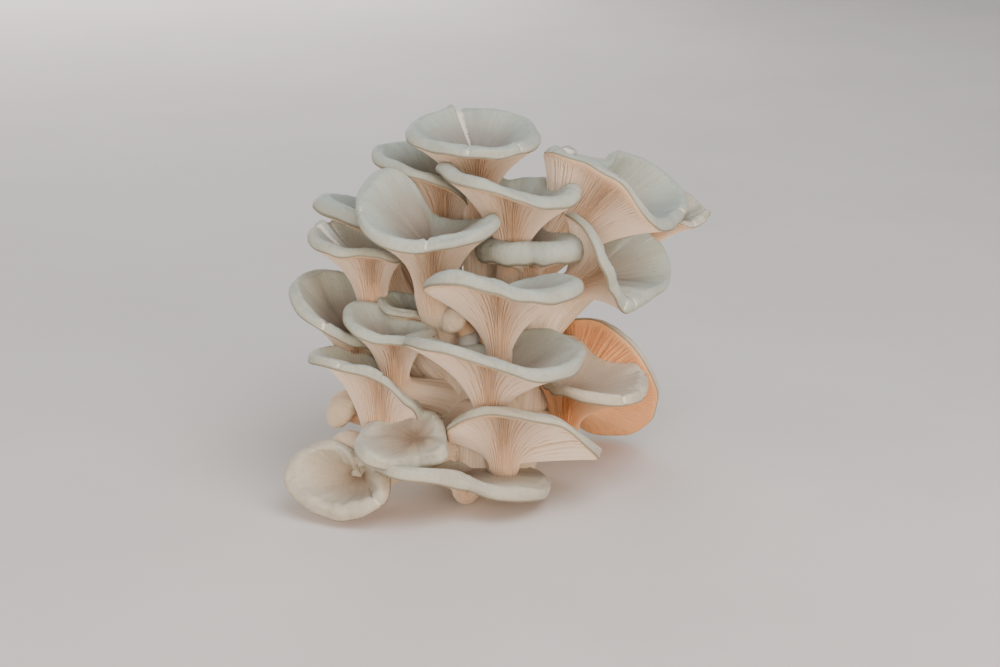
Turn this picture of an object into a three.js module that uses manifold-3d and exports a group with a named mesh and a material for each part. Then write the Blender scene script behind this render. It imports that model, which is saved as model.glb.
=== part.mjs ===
// Cluster of oyster mushrooms: funnel-shaped caps with rolled rims, tapering gills and curved
// stems that grow together into one cut base. Units are millimetres, +Z is up, and the origin is
// the middle of the flat cut face of the base. +Y is the back of the cluster.
import * as THREE from 'three';
import { mergeVertices } from 'three/addons/utils/BufferGeometryUtils.js';
import Module from 'manifold-3d';

const wasm = await Module();
wasm.setup();

// Driving dimensions
const ROLL = 3;              // radius of the rolled rim of a cap
const ROLL_ANGLE = 135;      // how far the rim rolls under, degrees
const BOWL = 1.5;            // 1 is a straight cone, higher is a flatter bowl with a steep edge
const FLARE = 0.55;          // how far the gills run out under the cap before they drop
const BEND = [0.9, 0.9];     // stiffness of a stem at the neck and at the root
const DOWN = [0, 0, -1];     // direction in which a stem enters the base
const GAP = 0.35;            // clearance between two mushrooms that press on each other
const SLIVER = 0.12;         // smallest detail kept where one mushroom is cut back
const NECK_LAP = 1;          // how far a joined stem starts inside its cap
const COLLAR = 0.3;          // how much fuller a joined stem is than its neck
const SIDES = 14;            // facets round a mushroom
const BUTTON_SIDES = 10;     // facets round a button that has not opened yet
const BOWL_RINGS = [0.1, 0.55, 1];
const ROLL_RINGS = 3;
const GILL_RINGS = 3;
const STEM_RINGS = 4;

// Base: the fused stems, cut flat below. Each ring is height, half width, half depth.
const BASE_SIDES = 20;
const BASE_RINGS = [
  [44, 12, 10], [36, 19, 18], [24, 24, 24], [12, 25, 26], [3, 23, 25], [0, 20, 22],
];

// One row per mushroom. A mushroom that comes first stays whole, and a later one is cut back to
// clear it.
//   throat    middle of the bowl, x y z
//   tilt      lean of the cap from upright, and the heading that it leans to (0 is +X, 90 is +Y)
//   rim       reach and height of the rolled edge above the throat, in eight directions from +X
//   neck      radius of the stem below the gills, and its depth below the throat
//   stem      radius half way down, and at the root
//   root      where the stem ends inside the base, x y z
//   sharpTurn whether the stem bends too tightly for one skin
const button = (reach, height) => Array(8).fill([reach, height]);
const MUSHROOMS = [
  { name: 'front_low', throat: [-6, -34, 14], tilt: [0, 0],
    rim: [[35, -2.5], [34, -4], [14, 1], [21, 2], [33, 6], [42, 15], [20, 6], [31, 2.5]],
    neck: [5.5, 7], stem: [5.5, 8], root: [0, -12, 8], roll: 3.4,
    bend: [0.5, 0.9], down: [0, 1, -0.2], sharpTurn: true },
  { name: 'curled_left', throat: [-49, -41, 16.5], tilt: [60, -115],
    rim: [[15, 8], [11, 8], [9.5, 9], [19, 13], [29, 13], [23, 14], [20.5, 13], [21, 12]],
    neck: [6, 8], stem: [6, 7], root: [-20, -12, 12], roll: 3.4, bowl: 1.9 },
  { name: 'low_inner', throat: [-26, -42, 33], tilt: [35, -90],
    rim: [[13, 1], [14, 2], [16, 1], [18, 0], [23, 5], [27, 13], [13, 0], [16, 4]],
    neck: [6, 10], stem: [6.5, 8], root: [-12, -14, 16] },
  { name: 'low_right', throat: [10, -30, 30], tilt: [0, 0],
    rim: [[40, -5], [30, -6], [12.5, -2], [22, -3], [24, 3], [24, 15], [22, 19], [33, 15]],
    neck: [6.5, 13], stem: [7.5, 9], root: [7, -12, 20] },
  { name: 'left_low', throat: [-41, -30, 50], tilt: [0, 0],
    rim: [[19, -10], [17, -2], [14, 7], [24, 14], [29, 16], [22, 16], [16, 12], [18, 2]],
    neck: [7, 20], stem: [7, 8], root: [-18, -8, 22], flare: 1.2 },
  { name: 'centre_low', throat: [4, -36, 56], tilt: [0, 0],
    rim: [[38.5, 12], [37, 14], [15, 12], [20, 11], [34, 19], [31, 22.5], [22, 16.5], [33, 11.5]],
    neck: [6, 14], stem: [7, 9], root: [-2, -14, 30], bowl: 1.2 },
  { name: 'left_cup', throat: [-35, -24, 67], tilt: [0, 0],
    rim: [[17, 7], [15, 8], [12, 10], [21, 15], [21, 14.5], [20, 10.5], [17, 8.5], [15, 8]],
    neck: [6, 14], stem: [6.5, 8], root: [-13, -5, 32], roll: 2.4 },
  { name: 'centre', throat: [8, -28, 84], tilt: [0, 0],
    rim: [[34, 12.5], [26, 9], [14, 5], [22, 4], [30, 12], [31, 21.5], [22, 16.5], [27, 13]],
    neck: [5.5, 18], stem: [6, 8], root: [4, -6, 36], roll: 3.8, bowl: 1.1 },
  { name: 'left_lobe', throat: [-51, -8, 67], tilt: [0, 0],
    rim: [[11, 4], [15, 10], [20, 17], [28, 22], [28, 20], [25, 12], [18, 4], [12, 0]],
    neck: [6.5, 16], stem: [6.5, 8], root: [-19, 3, 26], roll: 2.6 },
  { name: 'big_funnel', throat: [-19, -14, 104], tilt: [0, 0],
    rim: [[28, 16], [25, 9], [18, 12], [25, 31], [31, 26], [31, 13.5], [22, 10.5], [27, 14]],
    neck: [8, 16], stem: [7.5, 9], root: [-8, 0, 40], bowl: 0.8 },
  { name: 'left_folded', throat: [-45, -2, 96], tilt: [0, 0],
    rim: [[13, 6], [15, 7], [16, 10], [26, 14], [26, 12], [23, 11], [16, 9.5], [16, 6.5]],
    neck: [6.5, 16], stem: [6.5, 8], root: [-17, 8, 34], roll: 2.6 },
  { name: 'upper_middle', throat: [13, 2, 115], tilt: [0, 0],
    rim: [[30, 13], [27, 12], [20, 11], [25, 15], [31, 23], [29, 21.5], [24, 16.5], [25, 11.5]],
    neck: [6, 18], stem: [6, 8], root: [10, 4, 40], roll: 3.4 },
  { name: 'crown', throat: [-1, 15, 136], tilt: [0, 0],
    rim: [[26, 11], [29, 13], [27, 16], [26, 16], [30, 13], [27, 11.5], [26, 10.5], [26, 9.5]],
    neck: [6, 20], stem: [6.5, 8], root: [0, 12, 40], roll: 2.8, bowl: 1.2 },
  { name: 'right_fold', throat: [49, 4, 89], tilt: [58, -15],
    rim: [[25, 14], [42, 19], [18, 18], [32, 3], [24.5, 12], [22, 14], [16.5, 10], [20, 7.5]],
    neck: [7, 12], stem: [8, 10], root: [18, 2, 32] },
  { name: 'right_upper', throat: [41, 14, 109], tilt: [40, 0],
    rim: [[33, 27], [44, 35], [25, 32], [12, 27], [30, 18], [24, 26.5], [22, 29], [28, 25]],
    neck: [8, 22], stem: [9, 11], root: [18, 10, 36] },
  { name: 'right_back', throat: [77, 36, 100], tilt: [50, 5],
    rim: [[11, 17], [13, 20], [16, 19], [13, 14], [9, 9], [8, 7], [8, 8], [10, 12]],
    neck: [4.5, 10], stem: [6, 8], root: [18, 18, 34], roll: 1.8 },
  { name: 'right_low', throat: [36, -5, 40], tilt: [0, 0],
    rim: [[35, 5], [37, 9], [28, 17], [14, 17], [13, 10], [11, 7], [20, 8], [32, 6.5]],
    neck: [6.5, 14], stem: [7, 9], root: [17, -2, 22] },
  { name: 'back_right', throat: [42, 26, 31], tilt: [70, 55],
    rim: [[33.5, 15], [34, 16], [33, 13], [18, 6], [14, 4], [23, 11], [33, 13], [36, 12]],
    neck: [8, 10], stem: [8, 10], root: [16, 14, 18] },
  { name: 'back_left', throat: [-15, 22, 118], tilt: [0, 0],
    rim: [[19, 3], [20, 12], [22, 17], [29, 19], [31, 20], [26, 17], [20, 12], [15, 3]],
    neck: [6, 18], stem: [6, 7], root: [-6, 16, 38], roll: 2.6 },
  { name: 'left_back_roll', throat: [-40, 24, 102], tilt: [0, 0],
    rim: [[17, 3], [15, 5], [16, 6], [28, 11], [31, 16], [25, 14], [16, 7], [13, 2]],
    neck: [6, 14], stem: [6, 7], root: [-14, 16, 34], roll: 4.4 },
  { name: 'middle_back', throat: [21, 0, 103.5], tilt: [0, 0],
    rim: [[22.5, 3], [24, 4], [20, 5], [24, 4], [23, 3], [19, 3], [12.5, 2.5], [19, 3]],
    neck: [5, 12], stem: [4.8, 6], root: [16, 0, 40], roll: 5, bowl: 1 },
  { name: 'left_small', throat: [-26, -6, 70.5], tilt: [0, 0],
    rim: [[8, 2], [9, 6], [11, 9], [15, 11], [17, 12], [16.5, 10], [10, 7], [8.5, 3]],
    neck: [3.5, 9], stem: [4.5, 6], root: [-11, 0, 36], roll: 2.2 },
  { name: 'back_high', throat: [12, 40, 104], tilt: [24, 75],
    rim: [[22, 8], [24, 10], [26, 11], [24, 9], [22, 10], [20, 12], [18, 12], [20, 10]],
    neck: [6, 16], stem: [6, 8], root: [6, 20, 36] },
  { name: 'back_mid', throat: [-26, 42, 76], tilt: [30, 115],
    rim: [[22, 8], [24, 9], [28, 8], [26, 10], [24, 11], [20, 10], [18, 12], [20, 10]],
    neck: [6.5, 16], stem: [6.5, 8], root: [-10, 20, 30] },
  { name: 'back_low', throat: [4, 46, 48], tilt: [42, 85],
    rim: [[24, 6], [26, 8], [28, 10], [26, 7], [24, 8], [20, 9], [16, 10], [20, 8]],
    neck: [7, 14], stem: [7, 9], root: [2, 20, 22] },
  { name: 'back_side', throat: [-36, 26, 42], tilt: [44, 160],
    rim: [[14, 6], [15, 7], [17, 9], [18, 8], [19, 7], [18, 8], [15, 7], [14, 5]],
    neck: [6, 14], stem: [6, 8], root: [-18, 12, 20] },
  { name: 'left_bud', throat: [-61.5, -12, 38.5], tilt: [50, 200],
    rim: button(9.5, -3.5),
    neck: [4.4, 8], stem: [4.5, 6], root: [-20, -2, 20], roll: 2.2, bowl: 2 },
  { name: 'low_bud', throat: [-55, -35, 31.5], tilt: [25, -110],
    rim: button(7, -2.5),
    neck: [3.8, 7], stem: [4.5, 6], root: [-20, -10, 14], roll: 2.2, bowl: 2 },
  { name: 'centre_bud', throat: [-13, -22, 80], tilt: [45, 215],
    rim: button(6.4, -2.2),
    neck: [3.8, 8], stem: [4, 5], root: [1, -5, 42], roll: 2.2, bowl: 2 },
  { name: 'small_bud', throat: [-7, -21, 69], tilt: [45, 215],
    rim: button(5.4, -1.8),
    neck: [3.6, 8], stem: [4, 5], root: [3, -7, 40], roll: 1.8, bowl: 2 },
];

const SKIN = { color: 0xa9b0a8, roughness: 0.6, metalness: 0 };
const BUTTON_SKIN = { color: 0xd8c3a8, roughness: 0.6, metalness: 0 };
const CUT_FLESH = { color: 0xd9cbb6, roughness: 0.8, metalness: 0 };

const radians = THREE.MathUtils.degToRad;
const vector = (list) => new THREE.Vector3(...list);

// Smooth closed curve through evenly spaced values, read at an angle
function around(values, angle) {
  const count = values.length;
  const position = (angle / (2 * Math.PI)) * count;
  const index = Math.floor(position);
  const t = position - index;
  const [a, b, c, d] = [-1, 0, 1, 2].map((step) => values[(index + step + count) % count]);
  const cubic = 2 * a - 5 * b + 4 * c - d + t * (3 * (b - c) + d - a);
  return b + 0.5 * t * (c - a + t * cubic);
}

// Axis of a cap, with the two directions across it. The first stays as near +X as it can.
function capFrame([lean, heading]) {
  const side = Math.sin(radians(lean));
  const axis = new THREE.Vector3(
    side * Math.cos(radians(heading)), side * Math.sin(radians(heading)), Math.cos(radians(lean)));
  const right = new THREE.Vector3(1, 0, 0).addScaledVector(axis, -axis.x).normalize();
  return { axis, right, back: axis.clone().cross(right) };
}

// Profile of a cap at one angle: bowl, rolled rim, then gills down to the neck, as [radius, height]
function profile(row, angle) {
  const roll = row.roll ?? ROLL;
  const bowl = row.bowl ?? BOWL;
  const [neckRadius, neckDepth] = row.neck;
  const reach = around(row.rim.map(([r]) => r), angle);
  const height = around(row.rim.map(([, h]) => h), angle);
  const slope = Math.atan2(height * bowl, reach);
  const edge = reach - roll * (1 + Math.sin(slope));
  const lift = height - roll * (1 - Math.cos(slope));
  const points = BOWL_RINGS.map((s) => [edge * s, lift * s ** bowl]);
  for (let i = 1; i <= ROLL_RINGS; i += 1) {
    const turn = slope - (radians(ROLL_ANGLE) * i) / ROLL_RINGS;
    points.push([
      edge + roll * (Math.sin(slope) - Math.sin(turn)),
      lift - roll * (Math.cos(slope) - Math.cos(turn)),
    ]);
  }
  const lip = points.at(-1);
  lip[0] = Math.max(lip[0], neckRadius + 0.6);
  const drop = lip[1] + neckDepth;
  const gills = new THREE.CubicBezierCurve(
    new THREE.Vector2(lip[0], lip[1]),
    new THREE.Vector2((lip[0] + neckRadius) / 2, lip[1] - drop * (0.5 - 0.42 * (row.flare ?? FLARE))),
    new THREE.Vector2(neckRadius + (lip[0] - neckRadius) * 0.12, drop * 0.45 - neckDepth),
    new THREE.Vector2(neckRadius, -neckDepth));
  for (let i = 1; i <= GILL_RINGS; i += 1) {
    points.push(gills.getPoint(i / GILL_RINGS).toArray());
  }
  return points;
}

// Stem: a curve from the neck to the root, with a ring of points at each step. It can start
// inside its cap by lap, and be wider than its radius by extra.
function stemRings(row, { axis, right, back }, angles, lap, extra) {
  const neck = vector(row.throat).addScaledVector(axis, lap - row.neck[1]);
  const root = vector(row.root);
  const span = neck.distanceTo(root);
  const [stiffNeck, stiffRoot] = row.bend ?? BEND;
  const leave = axis.clone().multiplyScalar(-span * stiffNeck);
  const enter = vector(row.down ?? DOWN).normalize().multiplyScalar(span * stiffRoot);
  const curve = new THREE.CubicBezierCurve3(
    neck, neck.clone().addScaledVector(leave, 1 / 3), root.clone().addScaledVector(enter, -1 / 3), root);
  const [middleRadius, rootRadius] = row.stem;
  const rings = [];
  for (let i = 0; i <= STEM_RINGS; i += 1) {
    const t = i / STEM_RINGS;
    const along = curve.getTangent(t).negate();
    const turn = new THREE.Quaternion().setFromUnitVectors(axis, along);
    const radius = row.neck[0] * (1 - t) * (1 - 2 * t)
      + 4 * middleRadius * t * (1 - t) + rootRadius * t * (2 * t - 1);
    const centre = curve.getPoint(t);
    const across = right.clone().applyQuaternion(turn).multiplyScalar(radius + extra);
    const behind = back.clone().applyQuaternion(turn).multiplyScalar(radius + extra);
    rings.push(angles.map((angle) => centre.clone()
      .addScaledVector(across, Math.cos(angle))
      .addScaledVector(behind, Math.sin(angle))));
  }
  return rings;
}

// Closed skin over rings of points, with a flat fan over each end
function skin(rings) {
  const sides = rings[0].length;
  const middle = (ring) => ring.reduce((sum, p) => sum.add(p), new THREE.Vector3()).divideScalar(sides);
  const points = [...rings.flat(), middle(rings[0]), middle(rings.at(-1))];
  const top = rings.length * sides;
  const last = top - sides;
  const index = [];
  for (let j = 0; j < sides; j += 1) {
    const k = (j + 1) % sides;
    index.push(top, j, k, top + 1, last + k, last + j);
    for (let i = 0; i < last; i += sides) {
      index.push(i + j, i + sides + j, i + k, i + k, i + sides + j, i + sides + k);
    }
  }
  const geometry = new THREE.BufferGeometry();
  geometry.setAttribute('position', new THREE.Float32BufferAttribute(points.flatMap((p) => p.toArray()), 3));
  geometry.setIndex(index);
  return geometry;
}

function baseSkin() {
  return skin(BASE_RINGS.map(([height, halfWidth, halfDepth]) => {
    const ring = [];
    for (let j = 0; j < BASE_SIDES; j += 1) {
      const angle = (2 * Math.PI * j) / BASE_SIDES;
      ring.push(new THREE.Vector3(halfWidth * Math.cos(angle), halfDepth * Math.sin(angle), height));
    }
    return ring;
  }));
}

// Solid of a closed skin, swollen along its vertex normals
function solid(geometry, swell = 0) {
  const plain = geometry.clone();
  plain.computeVertexNormals();
  const position = plain.getAttribute('position');
  const normal = plain.getAttribute('normal');
  const vertProperties = new Float32Array(position.count * 3);
  for (let i = 0; i < position.count * 3; i += 1) {
    vertProperties[i] = position.array[i] + swell * normal.array[i];
  }
  const triVerts = new Uint32Array(plain.index.array);
  return new wasm.Manifold(new wasm.Mesh({ numProp: 3, vertProperties, triVerts }));
}

// One mushroom, swollen or not, as one skin from bowl to root. A stem that turns sharply would fold
// its skin over itself, so it is joined on as the hulls of its rings, two by two.
function mushroom(row, swell = 0) {
  const frame = capFrame(row.tilt);
  const throat = vector(row.throat);
  const sides = row.name.endsWith('bud') ? BUTTON_SIDES : SIDES;
  const angles = Array.from({ length: sides }, (_, j) => (2 * Math.PI * j) / sides);
  const profiles = angles.map((angle) => profile(row, angle));
  const cap = profiles[0].map((_, i) => angles.map((angle, j) => {
    const [radius, height] = profiles[j][i];
    return throat.clone()
      .addScaledVector(frame.right, radius * Math.cos(angle))
      .addScaledVector(frame.back, radius * Math.sin(angle))
      .addScaledVector(frame.axis, height);
  }));
  if (!row.sharpTurn) {
    return solid(skin([...cap, ...stemRings(row, frame, angles, 0, 0).slice(1)]), swell);
  }
  const stem = stemRings(row, frame, angles, NECK_LAP, COLLAR + swell);
  let whole = solid(skin(cap), swell);
  for (let i = 1; i < stem.length; i += 1) {
    const ends = [...stem[i - 1], ...stem[i]].map((point) => point.toArray());
    whole = whole.add(wasm.Manifold.hull(ends));
  }
  return whole;
}

// Largest body of a cut solid
function largest(cut) {
  const bodies = cut.decompose();
  return bodies.reduce((best, body) => (body.volume() > best.volume() ? body : best));
}

function meshOf(body, name, look) {
  const { vertProperties, triVerts } = largest(body.simplify(SLIVER)).getMesh();
  const geometry = new THREE.BufferGeometry();
  geometry.setAttribute('position', new THREE.BufferAttribute(new Float32Array(vertProperties), 3));
  geometry.setIndex(new THREE.BufferAttribute(new Uint32Array(triVerts), 1));
  const merged = mergeVertices(geometry, 0.001);
  merged.computeVertexNormals();
  const mesh = new THREE.Mesh(merged, new THREE.MeshStandardMaterial(look));
  mesh.name = name;
  return mesh;
}

const cluster = new THREE.Group();
cluster.name = 'oyster_mushroom_cluster';

const base = baseSkin();
cluster.add(meshOf(solid(base), 'base', CUT_FLESH));

const earlier = [solid(base, GAP)];
for (const row of MUSHROOMS) {
  const whole = mushroom(row);
  const clear = earlier.reduce((body, other) => body.subtract(other), whole);
  const look = row.name.endsWith('bud') ? BUTTON_SKIN : SKIN;
  cluster.add(meshOf(clear, row.name, look));
  earlier.push(mushroom(row, GAP).add(whole));
}

export default cluster;
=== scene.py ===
"""Oyster mushroom cluster: funnel caps with rolled rims, blade gills and curved stems on one cut base."""
import math

import bpy
import numpy as np
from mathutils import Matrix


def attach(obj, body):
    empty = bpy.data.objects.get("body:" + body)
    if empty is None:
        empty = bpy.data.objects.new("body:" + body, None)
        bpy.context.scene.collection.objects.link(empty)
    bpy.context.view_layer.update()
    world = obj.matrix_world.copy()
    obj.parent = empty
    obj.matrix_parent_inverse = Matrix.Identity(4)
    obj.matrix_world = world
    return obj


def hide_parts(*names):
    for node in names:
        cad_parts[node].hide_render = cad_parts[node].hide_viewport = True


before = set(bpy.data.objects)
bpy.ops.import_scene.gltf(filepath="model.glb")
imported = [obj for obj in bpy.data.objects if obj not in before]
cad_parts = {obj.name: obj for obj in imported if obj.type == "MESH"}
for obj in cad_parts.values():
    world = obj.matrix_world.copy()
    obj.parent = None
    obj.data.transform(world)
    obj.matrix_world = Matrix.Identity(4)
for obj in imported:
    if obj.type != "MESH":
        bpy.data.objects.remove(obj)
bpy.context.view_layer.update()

MM = 0.001

# Sizes in millimetres. They repeat those of the part's source.
ROLL = 3.0
ROLL_ANGLE = math.radians(135)
BOWL = 1.5
FLARE = 0.55
BEND = (0.9, 0.9)
DOWN = (0, 0, -1)
BASE_RINGS = ((44, 12, 10), (36, 19, 18), (24, 24, 24), (12, 25, 26), (3, 23, 25), (0, 20, 22))

# Finer sizes that only the finished mushrooms have
GILL_DEPTH = 1.7             # height of a gill blade under the cap
GILL_SPACING = 0.85          # distance between blades round the neck
GILL_WEDGE = 0.2             # half thickness of a blade at its foot, over its height
RUN_DOWN = 0.3               # how far the gills run down the stem, over its length
WRINKLE = 0.08               # height of the fine wrinkles in the skin
SWELL = 0.4                  # height of the broad swells in the bowl
PLUMP = 1.15                 # how much fuller the rolled rims are than the plain solids
RIM_WAVE = 0.35              # height of the slow wave round a rim
TEAR_DEPTH = 1.9             # how far a split cuts into the rim
STEM_RIDGE = 0.22            # height of the long ridges down a stem
SIDES = 128                  # points round a mushroom
BASE_SIDES = 160             # points round the fused base
BOWL_RINGS, ROLL_RINGS, GILL_RINGS, STEM_RINGS = 26, 14, 20, 26


def button(reach, height):
    return [(reach, height)] * 8


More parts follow.
